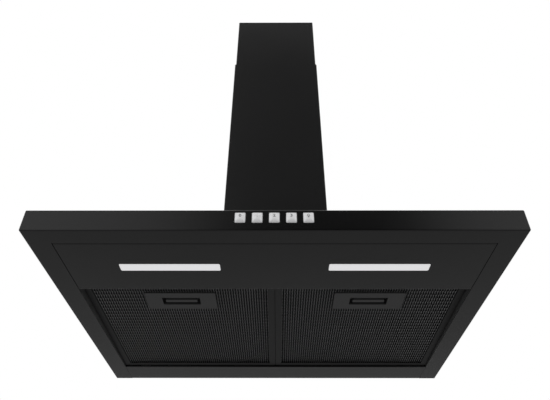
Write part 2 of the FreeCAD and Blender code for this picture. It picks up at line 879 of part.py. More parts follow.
def inlet_bell(side):
    """The rolled lip that leads air into the wheel: a quarter round turned about the shaft."""
    x = volute_width / 2
    c = V(x - inlet_lip, 0, inlet_radius + inlet_lip)
    wall = inlet_lip_wall
    outer = inlet_lip
    inner = inlet_lip - wall
    slant = V(1, 0, -1).normalize()
    edges = [
        Part.Arc(c + V(outer, 0, 0), c + slant * outer, c + V(0, 0, -outer)).toShape(),
        Part.LineSegment(c + V(0, 0, -outer), c + V(0, 0, -inner)).toShape(),
        Part.Arc(c + V(0, 0, -inner), c + slant * inner, c + V(inner, 0, 0)).toShape(),
        Part.LineSegment(c + V(inner, 0, 0), c + V(inner, 0, wall)).toShape(),
        Part.LineSegment(c + V(inner, 0, wall), c + V(outer, 0, wall)).toShape(),
        Part.LineSegment(c + V(outer, 0, wall), c + V(outer, 0, 0)).toShape(),
    ]
    ring = Part.Face(Part.Wire(Part.__sortEdges__(edges))).revolve(V(0, 0, 0), X, 360)
    ring.translate(fan_centre)
    return mirrored(ring, side)


def volute_half(side):
    reach = canopy_width
    keep = block((0, -reach, -reach), (reach, reach, reach))
    half = volute_solid().common(mirrored(keep, side))
    return fused([half, inlet_bell(side)])


# ---------------------------------------------------------------- fan and motor
def blade(angle):
    """One forward-curved blade, an arc strip along the whole wheel."""
    inner = wheel_radius - blade_depth
    outer = wheel_radius - blade_inset
    sweep = math.radians(blade_sweep)
    bow = sweep * blade_bow

    def at(radius, turn):
        return V(-wheel_width / 2, radius * math.cos(turn), radius * math.sin(turn))

    middle = (inner + outer) / 2
    lead = blade_thickness / middle
    edges = [
        Part.Arc(at(inner, 0), at(middle, bow), at(outer, sweep)).toShape(),
        Part.LineSegment(at(outer, sweep), at(outer, sweep + lead)).toShape(),
        Part.Arc(at(outer, sweep + lead), at(middle, bow + lead), at(inner, lead)).toShape(),
        Part.LineSegment(at(inner, lead), at(inner, 0)).toShape(),
    ]
    strip = Part.Face(Part.Wire(edges)).extrude(X * wheel_width)
    strip.rotate(V(0, 0, 0), X, angle)
    return strip


def fan_wheel():
    half = wheel_width / 2
    blades = [blade(360 / blade_count * i) for i in range(blade_count)]
    rims = [tube(wheel_radius, wheel_radius - blade_depth, rim_thickness, V(x, 0, 0), X)
            for x in (-half, half - rim_thickness)]
    disc = rod(wheel_radius, wheel_disc, V(-wheel_disc / 2, 0, 0), X)
    hub = rod(hub_radius, hub_length, V(-wheel_disc / 2, 0, 0), X)
    wheel = fused([disc, hub] + rims + blades)
    wheel = wheel.cut(rod(shaft_radius + shaft_gap, wheel_width, V(-half, 0, 0), X))
    wheel.translate(fan_centre)
    return wheel


def motor_back():
    """Plane of the motor's mounting face, outside the left half of the volute."""
    return -volute_width / 2


def motor():
    back = motor_back()
    body = rod(motor_radius, motor_length, V(back, 0, 0), X)
    ends = [e for e in body.Edges if e.Closed]
    body = body.makeFillet(motor_corner, ends)
    boss = rod(motor_boss_radius, motor_boss_length, V(back + motor_length, 0, 0), X)
    neck = bracket_sheet + motor_neck
    stub = rod(motor_neck_radius, neck, V(back - neck, 0, 0), X)
    shape = fused([body, boss, stub])
    shape = shape.cut(rod(shaft_radius + shaft_gap, motor_length + motor_boss_length,
                          V(back + shaft_from_back, 0, 0), X))
    shape.translate(fan_centre)
    return shape


def motor_shaft():
    back = motor_back() + shaft_from_back + running_gap
    shaft = rod(shaft_radius, hub_length - back, V(back, 0, 0), X)
    shaft.translate(fan_centre)
    return shaft


def motor_bracket():
    """A three-legged plate on the left half of the volute, in front of its inlet."""
    back = motor_back() - bracket_sheet
    start = V(back, 0, 0)
    reach = inlet_radius + inlet_lip + bracket_leg_width
    legs = []
    for i in range(bracket_legs):
        leg = block((back, 0, -bracket_leg_width / 2), (back + bracket_sheet, reach, bracket_leg_width / 2))
        leg.rotate(V(0, 0, 0), X, 90 + 360 / bracket_legs * i)
        legs.append(leg)
    plate = fused([rod(bracket_ring, bracket_sheet, start, X)] + legs)
    plate = plate.cut(rod(motor_neck_radius + shaft_gap, bracket_sheet, start, X))
    plate.translate(fan_centre)
    return plate


# ---------------------------------------------------------------- outlet
def flap_pin_z():
    return collar_base + flap_pin_height


def outlet_collar():
    axis = V(0, blower_y, 0)
    inner = collar_radius - collar_wall
    flange = rod(collar_radius + collar_flange, collar_flange_thickness, axis + Z * box_top, Z)
    spigot = rod(collar_radius, collar_height, axis + Z * collar_base, Z)
    ears = [rod(collar_ear, collar_flange_thickness, seat - Z * collar_flange_thickness, Z)
            for seat in collar_screw_seats()]
    shape = fused([flange, spigot] + ears)
    shape = shape.cut(rod(inner, collar_height * 2, axis + Z * (box_top - past), Z))
    stop_top = flap_pin_z() - flap_knuckle - running_gap
    stop = tube(inner + collar_wall / 2, inner - flap_stop, flap_thickness * 2,
                axis + Z * (stop_top - flap_thickness * 2), Z)
    shape = fused([shape, stop])
    for side in SIDES.values():
        start = V(side * flap_pin_offset, blower_y - collar_radius - past, flap_pin_z())
        shape = shape.cut(rod(flap_pin_radius + shaft_gap, 2 * (collar_radius + past), start, Y))
    for seat in collar_screw_seats():
        shape = shape.cut(screw_hole(seat, -Z, collar_flange_thickness * 2))
    return shape


def flap_pins():
    """Two straight pins across the collar, with their ends inside its wall."""
    inside = collar_radius - seam * 2
    half = math.sqrt(inside ** 2 - (flap_pin_offset + flap_pin_radius) ** 2)
    return Part.makeCompound([
        rod(flap_pin_radius, 2 * half, V(side * flap_pin_offset, blower_y - half, flap_pin_z()), Y)
        for side in SIDES.values()])


def flap(side):
    """Half a disc with a rolled knuckle along its pin."""
    radius = collar_radius - collar_wall - flap_rim_gap
    low = flap_pin_z() - flap_knuckle
    disc = rod(radius, flap_thickness, V(0, blower_y, low), Z)
    keep = block((flap_pin_offset, blower_y - radius, low),
                 (radius, blower_y + radius, low + flap_thickness))
    half = math.sqrt(radius ** 2 - (flap_pin_offset + flap_knuckle) ** 2) - seam
    start = V(flap_pin_offset, blower_y - half, flap_pin_z())
    knuckle = rod(flap_knuckle, 2 * half, start, Y)
    shape = fused([disc.common(keep), knuckle])
    shape = shape.cut(rod(flap_pin_radius + shaft_gap, 2 * radius, start - Y * seam * 2, Y))
    return mirrored(shape, side)


def cable_grommet():
    """A rubber ring with a groove that holds the box's top plate."""
    place = grommet_place()
    bottom = place - Z * (blower_sheet / 2 + grommet_height / 2)
    lips = [rod(grommet_radius, (grommet_height - blower_sheet) / 2, start, Z)
            for start in (bottom, place)]
    neck = rod(grommet_groove, grommet_height, bottom, Z)
    return fused(lips + [neck]).cut(rod(grommet_bore, grommet_height, bottom, Z))


# ---------------------------------------------------------------- chimney
def cover_path(inset):
    """Section of a three-sided cover with two narrow returns at the wall."""
    half = lower_cover_width / 2 - inset
    rear = -inset
    face = inset - lower_cover_depth
    return [(cover_return - half, rear), (-half, rear), (-half, face), (half, face),
            (half, rear), (half - cover_return, rear)]


def lower_cover():
    return folded_along_z(cover_path(0), sheet, fold_radius, canopy_top, underside + lower_cover_top)


def cover_screw_seats():
    z = upper_top - upper_bracket_below_top - upper_bracket_height / 2
    return [V(side * upper_half, -upper_bracket_ear / 2, z) for side in SIDES.values()]


def upper_cover():
    low = upper_top - upper_cover_height
    cover = folded_along_z(cover_path(cover_step), sheet, fold_radius, low, upper_top)
    for seat in cover_screw_seats():
        cover = cover.cut(screw_hole(seat, X if seat.x < 0 else -X, screw_length))
    return cover


def upper_bracket():
    """The strap on the wall below the ceiling; its ears hold the upper cover's sides."""
    ear = upper_half - sheet
    plate = upper_bracket_plate / 2
    jog = -upper_bracket_jog - cover_step + sheet
    path = [(ear, -upper_bracket_ear), (ear, jog), (plate, jog), (plate, 0),
            (-plate, 0), (-plate, jog), (-ear, jog), (-ear, -upper_bracket_ear)]
    high = upper_top - upper_bracket_below_top
    strap = folded_along_z(path, upper_bracket_sheet, fold_radius, high - upper_bracket_height, high)
    middle = high - upper_bracket_height / 2
    for side in SIDES.values():
        start = V(side * upper_hole_spacing / 2, -upper_bracket_sheet - past, middle)
        strap = strap.cut(rod(upper_hole_radius, upper_bracket_sheet + 2 * past, start, Y))
    for seat in cover_screw_seats():
        strap = strap.cut(screw_hole(seat, X if seat.x < 0 else -X, screw_length))
    return strap


def cover_screws():
    return Part.makeCompound([screw(seat, X if seat.x < 0 else -X) for seat in cover_screw_seats()])


def cover_guides():
    """Pads inside the lower cover's top edge, on which the upper cover slides."""
    inner = lower_cover_width / 2 - sheet
    thickness = cover_step - sheet - running_gap
    high = underside + lower_cover_top - seam
    low = high - guide_height
    middle = -lower_cover_depth / 2
    pads = []
    for side in SIDES.values():
        x = sorted((side * inner, side * (inner - thickness)))
        pads.append(block((x[0], middle - guide_length / 2, low),
                          (x[1], middle + guide_length / 2, high)))
        centre = side * front_pair_spacing / 2
        face = sheet - lower_cover_depth
        pads.append(block((centre - guide_length / 2, face, low),
                          (centre + guide_length / 2, face + thickness, high)))
    return Part.makeCompound(pads)


def cover_feet():
    """Two angles on the canopy, inside the lower cover's front wall."""
    face = sheet - lower_cover_depth
    depth = lower_cover_depth - sheet - blower_box_depth - seam
    path = [(face, canopy_top + foot_height), (face, canopy_top), (face + depth, canopy_top)]
    feet = []
    for side in SIDES.values():
        low = side * front_pair_spacing / 2 - foot_width / 2
        feet.append(folded_along_x(path, sheet, fold_radius, low, low + foot_width))
    return Part.makeCompound(feet)


# ---------------------------------------------------------------- electrical parts
def electrical_box_corner():
    """Lower front left corner of the electrical box, above the rear rail."""
    x = electrical_box_end - electrical_box_length
    y = -rear_panel_flange - seam - electrical_box_depth
    return V(x, y, ceiling_inside - electrical_box_height)


def electrical_box():
    c = electrical_box_corner()
    far = c + V(electrical_box_length, electrical_box_depth, electrical_box_height)
    wall = electrical_box_wall
    outer = rounded_block(tuple(c), tuple(far), electrical_box_radius, Z)
    inner = rounded_block((c.x + wall, c.y + wall, c.z - past), (far.x - wall, far.y - wall, far.z - wall),
                          electrical_box_radius - wall, Z)
    return outer.cut(inner)


def electrical_box_lid():
    c = electrical_box_corner()
    wall = electrical_box_wall
    far = c + V(electrical_box_length, electrical_box_depth, 0)
    plate = rounded_block((c.x, c.y, c.z - wall), (far.x, far.y, c.z), electrical_box_radius, Z)
    gap = wall + seam
    rib = rounded_block((c.x + gap, c.y + gap, c.z), (far.x - gap, far.y - gap, c.z + wall),
                        electrical_box_radius - gap, Z)
    gap += wall
    inside = block((c.x + gap, c.y + gap, c.z), (far.x - gap, far.y - gap, c.z + wall))
    return fused([plate, rib.cut(inside)])


def electrical_ceiling():
    return ceiling_inside - electrical_box_wall


def capacitor():
    c = electrical_box_corner()
    z = electrical_ceiling() - capacitor_radius
    start = V(c.x + electrical_inset, c.y + electrical_box_depth / 2, z)
    can = rod(capacitor_radius, capacitor_length, start, X)
    can = can.makeFillet(capacitor_corner, [e for e in can.Edges if e.Closed])
    end = start.x + capacitor_length
    tabs = []
    for side in SIDES.values():
        y = start.y + side * tab_spacing / 2
        tabs.append(block((end - past, y - tab_width / 2, z - tab_thickness / 2),
                          (end + tab_length, y + tab_width / 2, z + tab_thickness / 2)))
    return fused([can] + tabs)


def terminal_block():
    """A row of insulated terminals, each with its wire holes and its screw well."""
    c = electrical_box_corner()
    x = c.x + electrical_box_length - electrical_inset - terminal_block_length
    y = c.y + (electrical_box_depth - terminal_block_depth) / 2
    top = electrical_ceiling()
    low = top - terminal_block_height
    body = rounded_block((x, y, low), (x + terminal_block_length, y + terminal_block_depth, top),
                         terminal_corner, Z)
    pitch = terminal_block_length / terminal_ways
    for i in range(terminal_ways):
        middle = x + (i + 0.5) * pitch
        wire = V(middle, y, low + terminal_block_height / 2)
        body = body.cut(rod(terminal_hole, terminal_block_depth, wire, Y))
        for side in SIDES.values():
            well = V(middle, y + terminal_block_depth / 2 + side * terminal_well_offset, low)
            body = body.cut(rod(terminal_well, terminal_well_depth, well, Z))
    return body


def lamp_driver():
    """The lamps' power supply, hung from the canopy on two ears."""
    x = electrical_box_from_side - bay_half
    y = -rear_panel_flange - seam - driver_depth
    low = ceiling_inside - driver_height
    middle = y + driver_depth / 2
    far = x + driver_length
    body = rounded_block((x, y, low), (far, y + driver_depth, ceiling_inside), driver_radius, Z)
    half = driver_ear_width / 2
    ears = rounded_block((x - driver_ear_reach, middle - half, ceiling_inside - driver_ear_thickness),
                         (far + driver_ear_reach, middle + half, ceiling_inside), driver_radius, Z)
    shape = fused([body, ears])
    for end in (x - driver_ear_reach / 2, far + driver_ear_reach / 2):
        shape = shape.cut(screw_hole(V(end, middle, ceiling_inside), Z, driver_height))
    return shape


# ---------------------------------------------------------------- screws
def blower_box_screws():
    return Part.makeCompound([screw(seat, -Z) for seat in blower_foot_screws()])


def collar_screws():
    return Part.makeCompound([screw(seat, -Z) for seat in collar_screw_seats()])


def volute_screws():
    seats = [ear + X * volute_wall for ear in ear_places()]
    return Part.makeCompound([screw(seat, -X, 3 * volute_wall) for seat in seats])


# ---------------------------------------------------------------- the nodes
def all_nodes():
    nodes = {
        "canopy_shell": canopy_shell(),
        "rear_panel": rear_panel(),
        "rear_rail": rear_rail(),
        "lamp_panel": lamp_panel(),
        "lamp_driver": lamp_driver(),
        "switch_housing": switch_housing(),
        "switch_bracket": switch_bracket(),
        "blower_box": blower_box(),
        "blower_box_front": blower_box_front(),
        "blower_box_top": blower_box_top(),
        "blower_box_screws": blower_box_screws(),
        "fan_wheel": fan_wheel(),
        "motor": motor(),
        "motor_shaft": motor_shaft(),
        "motor_bracket": motor_bracket(),
        "volute_screws": volute_screws(),
        "outlet_collar": outlet_collar(),
        "collar_screws": collar_screws(),
        "flap_pins": flap_pins(),
        "cable_grommet": cable_grommet(),
        "electrical_box": electrical_box(),
        "electrical_box_lid": electrical_box_lid(),
        "capacitor": capacitor(),
        "terminal_block": terminal_block(),
        "lower_cover": lower_cover(),
        "upper_cover": upper_cover(),
        "upper_bracket": upper_bracket(),
        "cover_screws": cover_screws(),
        "cover_guides": cover_guides(),
        "cover_feet": cover_feet(),
    }
    for i, place in enumerate(button_places()):
        nodes[f"button_{i + 1}"] = button(place)
    for name, side in SIDES.items():
        nodes[f"bay_wall_{name}"] = bay_wall(side)
        nodes[f"lamp_window_{name}"] = lamp_window(side)
        nodes[f"lamp_housing_{name}"] = lamp_housing(side)
        nodes[f"led_board_{name}"] = led_board(side)
        nodes[f"filter_frame_{name}"] = filter_frame(side)
        nodes[f"filter_mesh_{name}"] = filter_mesh(side)
        nodes[f"filter_handle_{name}"] = filter_handle(side)
        nodes[f"handle_cover_{name}"] = handle_cover(side)
        nodes[f"filter_latch_{name}"] = filter_latch(side)
        nodes[f"latch_spring_{name}"] = latch_spring(side)
        nodes[f"volute_{name}"] = volute_half(side)
        nodes[f"flap_{name}"] = flap(side)
    return nodes


os.makedirs("parts", exist_ok=True)
for name, shape in all_nodes().items():
    shape.exportStep(f"parts/{name}.step")
    print(name, len(shape.Solids), round(shape.Volume), shape.isValid())
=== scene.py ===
import json
import math

import bmesh
import bpy
from bmesh.types import BMEdge, BMFace, BMVert
from mathutils import Matrix, Vector
from mathutils.bvhtree import BVHTree


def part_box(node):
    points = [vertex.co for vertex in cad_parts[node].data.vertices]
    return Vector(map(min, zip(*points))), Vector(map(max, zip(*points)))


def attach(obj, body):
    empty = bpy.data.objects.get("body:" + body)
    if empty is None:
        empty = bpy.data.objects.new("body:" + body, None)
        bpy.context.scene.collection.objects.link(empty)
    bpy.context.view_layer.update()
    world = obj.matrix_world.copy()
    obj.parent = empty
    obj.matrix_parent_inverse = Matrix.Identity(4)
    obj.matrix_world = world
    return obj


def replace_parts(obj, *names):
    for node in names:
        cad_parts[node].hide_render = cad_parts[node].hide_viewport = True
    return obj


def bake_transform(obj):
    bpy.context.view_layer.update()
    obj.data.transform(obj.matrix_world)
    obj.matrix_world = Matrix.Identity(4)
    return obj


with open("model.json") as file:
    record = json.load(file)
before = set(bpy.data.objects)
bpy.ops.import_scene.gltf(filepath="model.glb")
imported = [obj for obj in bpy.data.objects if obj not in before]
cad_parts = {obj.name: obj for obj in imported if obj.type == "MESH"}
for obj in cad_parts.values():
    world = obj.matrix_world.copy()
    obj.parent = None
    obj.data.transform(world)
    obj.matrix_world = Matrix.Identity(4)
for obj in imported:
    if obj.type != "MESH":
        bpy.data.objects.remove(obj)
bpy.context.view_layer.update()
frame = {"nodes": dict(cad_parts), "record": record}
nodes = frame["nodes"]
sides = {"left": -1, "right": 1}
mm = 0.001


# shader maths: a wire is an output socket that can be added, subtracted and multiplied
class Wire:
    def __init__(self, tree, socket=None):
        self.tree = tree
        self.socket = socket

    def node(self, kind, settings=None, inputs=None, out=0):
        made = self.tree.nodes.new("ShaderNode" + kind)
        for key, value in (settings or {}).items():
            if key == "stops":
                setStops(made.color_ramp.elements, value)
            else:
                setattr(made, key, value)
        feed(made, inputs or {})
        return Wire(self.tree, made.outputs[out])

    def maths(self, operation, a, b):
        return self.node("Math", {"operation": operation}, {0: a, 1: b})

    def __add__(self, other):
        return self.maths("ADD", self, other)

    def __radd__(self, other):
        return self.maths("ADD", other, self)

    def __sub__(self, other):
        return self.maths("SUBTRACT", self, other)

    def __rsub__(self, other):
        return self.maths("SUBTRACT", other, self)

    def __mul__(self, other):
        return self.maths("MULTIPLY", self, other)

    def __rmul__(self, other):
        return self.maths("MULTIPLY", other, self)


def feed(node, values):
    for key, value in values.items():
        if isinstance(value, Wire):
            value.tree.links.new(value.socket, node.inputs[key])
        else:
            node.inputs[key].default_value = value


def setStops(elements, stops):
    while len(elements) < len(stops):
        elements.new(0.5)
    for element, (position, colour) in zip(elements, stops):
        element.position = position
        element.color = (*colour, 1)


def blank(name):
    made = bpy.data.materials.new(name)
    made.use_nodes = True
    wire = Wire(made.node_tree)
    where = wire.node("TexCoord", out="Object")
    return made, wire, where


def dress(made, values):
    feed(made.node_tree.nodes["Principled BSDF"], values)
    return made


def noise(wire, where, scale, detail):
    return wire.node("TexNoise", {}, {"Vector": where, "Scale": scale, "Detail": detail})


def sway(value, spread, middle=0.5):
    return (value - middle) * spread


def mixed(first, second, share):
    return first * share + second * (1 - share)


def twoTone(wire, factor, first, second):
    a, b = (tone if isinstance(tone, Wire) else (*tone, 1) for tone in (first, second))
    return wire.node("Mix", {"data_type": "RGBA"}, {0: factor, 6: a, 7: b}, 2)  # colour sockets


def bump(wire, height, look):
    inputs = {"Height": height, "Distance": look["bumpDepth"], "Strength": look["bumpStrength"]}
    return wire.node("Bump", {}, inputs)


def along(wire, where, axis):
    return wire.node("SeparateXYZ", {}, {"Vector": where}, axis)


def redOf(wire, colour):
    return wire.node("SeparateColor", {}, {"Color": colour}, "Red")


def shareOf(wire, value, low, high):
    return wire.node("MapRange", {}, {0: value, 1: low, 2: high})  # 0 at low, 1 at high


# finishes; a noise is given as its scale and detail
def powderCoat(name, look):
    made, wire, where = blank(name)
    peel = noise(wire, where, *look["peel"])
    fine = noise(wire, where, *look["grain"])
    cloud = noise(wire, where, *look["cloud"])
    uneven = look["roughness"] + sway(cloud, look["cloudSpread"]) + sway(fine, look["grainSpread"])
    return dress(made, {
        "Base Color": twoTone(wire, cloud, look["dark"], look["pale"]),
        "Roughness": uneven,
        "Specular IOR Level": look["specular"],
        "Normal": bump(wire, mixed(peel, fine, look["peelShare"]), look),
    })


blackPowderLook = {
    "dark": (0.0016, 0.0016, 0.0017), "pale": (0.0028, 0.0028, 0.0029), "roughness": 0.24,
    "specular": 0.5, "peel": (420.0, 2.0), "grain": (1500.0, 1.0), "cloud": (5.0, 3.0),
    "cloudSpread": 0.07, "grainSpread": 0.05, "peelShare": 0.7, "bumpDepth": 0.00006,
    "bumpStrength": 0.3,
}
filterBlackLook = dict(blackPowderLook, dark=(0.014, 0.014, 0.0142), pale=(0.021, 0.021, 0.0213),
                       roughness=0.55, specular=0.35, cloud=(9.0, 3.0))
bayLook = dict(filterBlackLook, dark=(0.05, 0.05, 0.0505), pale=(0.07, 0.07, 0.0705))


def mouldedPlastic(name, look):
    made, wire, where = blank(name)
    cells = {"Vector": where, "Scale": look["grainScale"]}
    grain = wire.node("TexVoronoi", {"feature": "SMOOTH_F1"}, cells)
    cloud = noise(wire, where, *look["cloud"])
    uneven = look["roughness"] + sway(cloud, look["cloudSpread"])
    return dress(made, {
        "Base Color": twoTone(wire, cloud, look["dark"], look["pale"]),
        "Roughness": uneven + sway(grain, look["grainSpread"], look["grainMiddle"]),
        "Specular IOR Level": look["specular"],
        "Normal": bump(wire, grain, look),
    })


blackPlasticLook = {
    "dark": (0.010, 0.010, 0.0105), "pale": (0.015, 0.015, 0.0155), "roughness": 0.42,
    "specular": 0.5, "grainScale": 1300.0, "cloud": (14.0, 3.0), "cloudSpread": 0.08,
    "grainSpread": 0.06, "grainMiddle": 0.4, "bumpDepth": 0.00008, "bumpStrength": 0.45,
}
handleLook = dict(blackPlasticLook, dark=(0.031, 0.031, 0.0315), pale=(0.040, 0.040, 0.0405))
whitePlasticLook = dict(blackPlasticLook, dark=(0.72, 0.72, 0.70), pale=(0.80, 0.80, 0.78),
                        roughness=0.48, specular=0.45, grainScale=1100.0, cloud=(12.0, 3.0),
                        bumpDepth=0.00006, bumpStrength=0.3)
rubberLook = dict(blackPlasticLook, dark=(0.016, 0.016, 0.016), pale=(0.026, 0.026, 0.026),
                  roughness=0.72, specular=0.3, grainScale=1800.0, cloud=(40.0, 3.0),
                  bumpDepth=0.00005, bumpStrength=0.4)


def zincSheet(name, look):
    made, wire, where = blank(name)
    warp = noise(wire, where, *look["warp"])
    cells = {"Vector": where, "Scale": look["flakeScale"]}
    flake = redOf(wire, wire.node("TexVoronoi", {"feature": "F1"}, cells, "Color"))
    fine = noise(wire, where, *look["grain"])
    uneven = look["roughness"] + sway(flake, look["flakeSpread"]) + sway(fine, look["grainSpread"])
    return dress(made, {
        "Base Color": twoTone(wire, mixed(flake, warp, look["flakeShare"]), look["dark"],
                              look["pale"]),
        "Metallic": look["metallic"],
        "Roughness": uneven,
        "Normal": bump(wire, fine, look),
    })


zincLook = {
    "dark": (0.40, 0.41, 0.42), "pale": (0.60, 0.61, 0.62), "metallic": 1.0, "roughness": 0.38,
    "warp": (60.0, 2.0), "flakeScale": 110.0, "flakeShare": 0.6, "flakeSpread": 0.14,
    "grain": (900.0, 2.0), "grainSpread": 0.06, "bumpDepth": 0.00003, "bumpStrength": 0.25,
}
motorLook = dict(zincLook, dark=(0.28, 0.29, 0.30), pale=(0.38, 0.39, 0.40), roughness=0.42,
                 flakeScale=700.0)
brightLook = dict(zincLook, dark=(0.60, 0.60, 0.58), pale=(0.74, 0.74, 0.73), roughness=0.24,
                  flakeScale=900.0)
meshLook = dict(zincLook, dark=(0.20, 0.20, 0.203), pale=(0.30, 0.30, 0.304), metallic=0.5,
                roughness=0.4, flakeScale=260.0)
# a darker copy of the mesh finish: painted shade on the strands in the pleat's valleys and on the
# inner and backing layers behind
shadedMeshLook = dict(meshLook, dark=(0.008, 0.008, 0.0082), pale=(0.014, 0.014, 0.0142),
                    metallic=0.9)


def silverPaint(name, look):
    made, wire, where = blank(name)
    flake = noise(wire, where, *look["flake"])
    cloud = noise(wire, where, *look["cloud"])
    paint = twoTone(wire, mixed(flake, cloud, look["flakeShare"]), look["dark"], look["pale"])
    # painted shade: the paint darkens from about the cap's middle down to its foot
    height = shareOf(wire, along(wire, where, "Z"), look["paintedShadeLow"], look["paintedShadeHigh"])
    return dress(made, {
        "Base Color": twoTone(wire, height, look["paintedShade"], paint),
        "Metallic": look["metallic"],
        "Roughness": look["roughness"] + sway(flake, look["flakeSpread"]),
        "Coat Weight": look["coat"],
        "Coat Roughness": look["coatRoughness"],
        "Normal": bump(wire, flake, look),
    })


silverLook = {
    "dark": (0.70, 0.70, 0.71), "pale": (0.80, 0.80, 0.81), "metallic": 0.25, "roughness": 0.42,
    "flake": (2600.0, 1.0), "cloud": (60.0, 2.0), "flakeShare": 0.5, "flakeSpread": 0.12,
    "coat": 0.15, "coatRoughness": 0.2, "bumpDepth": 0.00002, "bumpStrength": 0.3,
    "paintedShade": (0.42, 0.42, 0.425),  # painted shade: the tone at a cap's foot, which is painted darker than its top
    "paintedShadeLow": -147.5 * mm, "paintedShadeHigh": -139 * mm,
}
# the signs also darken toward the cap's foot, a painted shade in their own dark tone
markLook = dict(silverLook, dark=(0.06, 0.06, 0.063), pale=(0.09, 0.09, 0.094), metallic=0.0,
                roughness=0.55, flake=(3000.0, 1.0), paintedShade=(0.06, 0.06, 0.063))


def frosted(name, look):
    made, wire, where = blank(name)
    bands = {"wave_type": "BANDS", "bands_direction": "X", "wave_profile": "SIN"}
    ribs = wire.node("TexWave", bands, {"Vector": where, "Scale": look["ribScale"]}, "Fac")
    haze = noise(wire, where, *look["haze"])
    return dress(made, {
        "Base Color": twoTone(wire, haze, look["dark"], look["pale"]),
        "Roughness": look["roughness"] + sway(haze, look["hazeSpread"]),
        "Emission Color": twoTone(wire, ribs, look["glowDark"], look["glowPale"]),
        "Emission Strength": look["glow"],
        "Normal": bump(wire, mixed(ribs, haze, look["ribShare"]), look),
    })


lampLook = {
    "dark": (0.78, 0.78, 0.79), "pale": (0.84, 0.84, 0.85), "roughness": 0.5, "ribScale": 160.0,
    "ribShare": 0.7, "haze": (700.0, 2.0), "hazeSpread": 0.1, "glow": 0.46,
    "glowDark": (0.94, 0.94, 0.96), "glowPale": (1.0, 1.0, 1.0), "bumpDepth": 0.0001,
    "bumpStrength": 0.5,
}


def boardLacquer(name, look):
    made, wire, where = blank(name)
    haze = noise(wire, where, *look["haze"])
    return dress(made, {
        "Base Color": twoTone(wire, haze, look["dark"], look["pale"]),
        "Roughness": look["roughness"] + sway(haze, look["hazeSpread"]),
        "Normal": bump(wire, haze, look),
    })


boardLook = {
    "dark": (0.66, 0.69, 0.66), "pale": (0.74, 0.76, 0.73), "roughness": 0.3,
    "haze": (300.0, 3.0), "hazeSpread": 0.2, "bumpDepth": 0.00003, "bumpStrength": 0.3,
}
finishes = {
    "black_powder": powderCoat("blackPowder", blackPowderLook),
    "filter_black": powderCoat("filterBlack", filterBlackLook),
    "zinc_steel": zincSheet("zincSteel", zincLook),
    "filter_mesh": zincSheet("filterMesh", meshLook),
    "filterMeshShaded": zincSheet("filterMeshShaded", shadedMeshLook),
    "handleBlack": mouldedPlastic("handleBlack", handleLook),
    "bayBlack": powderCoat("bayBlack", bayLook),
    "black_plastic": mouldedPlastic("blackPlastic", blackPlasticLook),
    "button_silver": silverPaint("buttonSilver", silverLook),
    "lamp_frosted": frosted("lampFrosted", lampLook),
    "white_plastic": mouldedPlastic("whitePlastic", whitePlasticLook),
    "circuit_board": boardLacquer("circuitBoard", boardLook),
    "black_rubber": mouldedPlastic("blackRubber", rubberLook),
    "bright_steel": zincSheet("brightSteel", brightLook),
    "motor_grey": zincSheet("motorGrey", motorLook),
    "buttonMark": silverPaint("buttonMark", markLook),
}
slotOf = {row["node"]: row["material_slot"] for row in frame["record"]["subparts"]}
ownLook = {"bay_wall": "bayBlack", "filter_handle": "handleBlack", "filter_latch": "handleBlack"}
for name, obj in nodes.items():
    look = next((own for start, own in ownLook.items() if name.startswith(start)), slotOf[name])
    for holder in obj.material_slots:
        holder.material = finishes[look]
print("finishes on", len(slotOf), "nodes")


# mesh helpers
inward = Vector((0, 1, 0))
weld = 0.001 * mm  # joins the loose triangles of a CAD mesh


def only(kind, geom):
    return [g for g in geom if isinstance(g, kind)]


def boxInto(bm, low, high):
    size = [b - a for a, b in zip(low, high)]
    middle = [(a + b) / 2 for a, b in zip(low, high)]
    matrix = Matrix.Translation(middle) @ Matrix.Diagonal((*size, 1))
    return bmesh.ops.create_cube(bm, size=1, matrix=matrix)["verts"]


def sheetInto(bm, halfX, halfY):
    verts = list(bmesh.ops.create_grid(bm, x_segments=1, y_segments=1, size=1)["verts"])
    bmesh.ops.scale(bm, vec=(halfX, halfY, 1), verts=verts)
    return verts


def standUp(bm, verts):
    quarter = Matrix.Rotation(math.radians(90), 3, "X")
    bmesh.ops.rotate(bm, cent=(0, 0, 0), matrix=quarter, verts=verts)


def linked(verts, kind):
    return list(dict.fromkeys(g for v in verts for g in getattr(v, f"link_{kind}")))


def edgesAlong(verts, axis, straight=0.99):
    return [e for e in linked(verts, "edges")
            if abs((e.verts[1].co - e.verts[0].co).normalized().dot(axis)) > straight]


def bevelled(bm, edges, width, segments, clamp=False):
    bmesh.ops.bevel(bm, geom=edges, offset=width, segments=segments, profile=0.5, material=-1,
                    affect="EDGES", clamp_overlap=clamp)


def crownFace(bm, face, rise, steps, ease):
    middle = face.calc_center_median()
    normal = face.normal.copy()
    for left in range(steps, 0, -1):  # each ring is smaller and rises less than the one before
        face = bmesh.ops.extrude_discrete_faces(bm, faces=[face])["faces"][0]
        scale = 1 - 1 / (left + ease)
        bmesh.ops.scale(bm, vec=(scale, 1, scale), space=Matrix.Translation(-middle),
                        verts=face.verts)
        bmesh.ops.translate(bm, vec=normal * rise * (2 * left - 1) / steps ** 2, verts=face.verts)


def mergedCopy(node):
    bm = bmesh.new()
    bm.from_mesh(nodes[node].data)
    bmesh.ops.remove_doubles(bm, verts=bm.verts, dist=weld)
    return bm


def meshFrom(bm, name):
    mesh = bpy.data.meshes.new(name)
    bm.to_mesh(mesh)
    bm.free()
    return mesh


def placed(name, data):
    obj = bpy.data.objects.new(name, data)
    bpy.context.scene.collection.objects.link(obj)
    return obj


def objectFrom(bm, name, smooth, materials):
    mesh = meshFrom(bm, name)
    if smooth:
        mesh.shade_smooth()
    for material in materials:
        mesh.materials.append(material)
    return placed(name, mesh)


def pieceFrom(bm, name, body, slot, smooth=True, looks=()):
    bmesh.ops.recalc_face_normals(bm, faces=bm.faces)
    piece = objectFrom(bm, name, smooth, [finishes[look] for look in looks or (slot,)])
    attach(piece, body)
    return piece


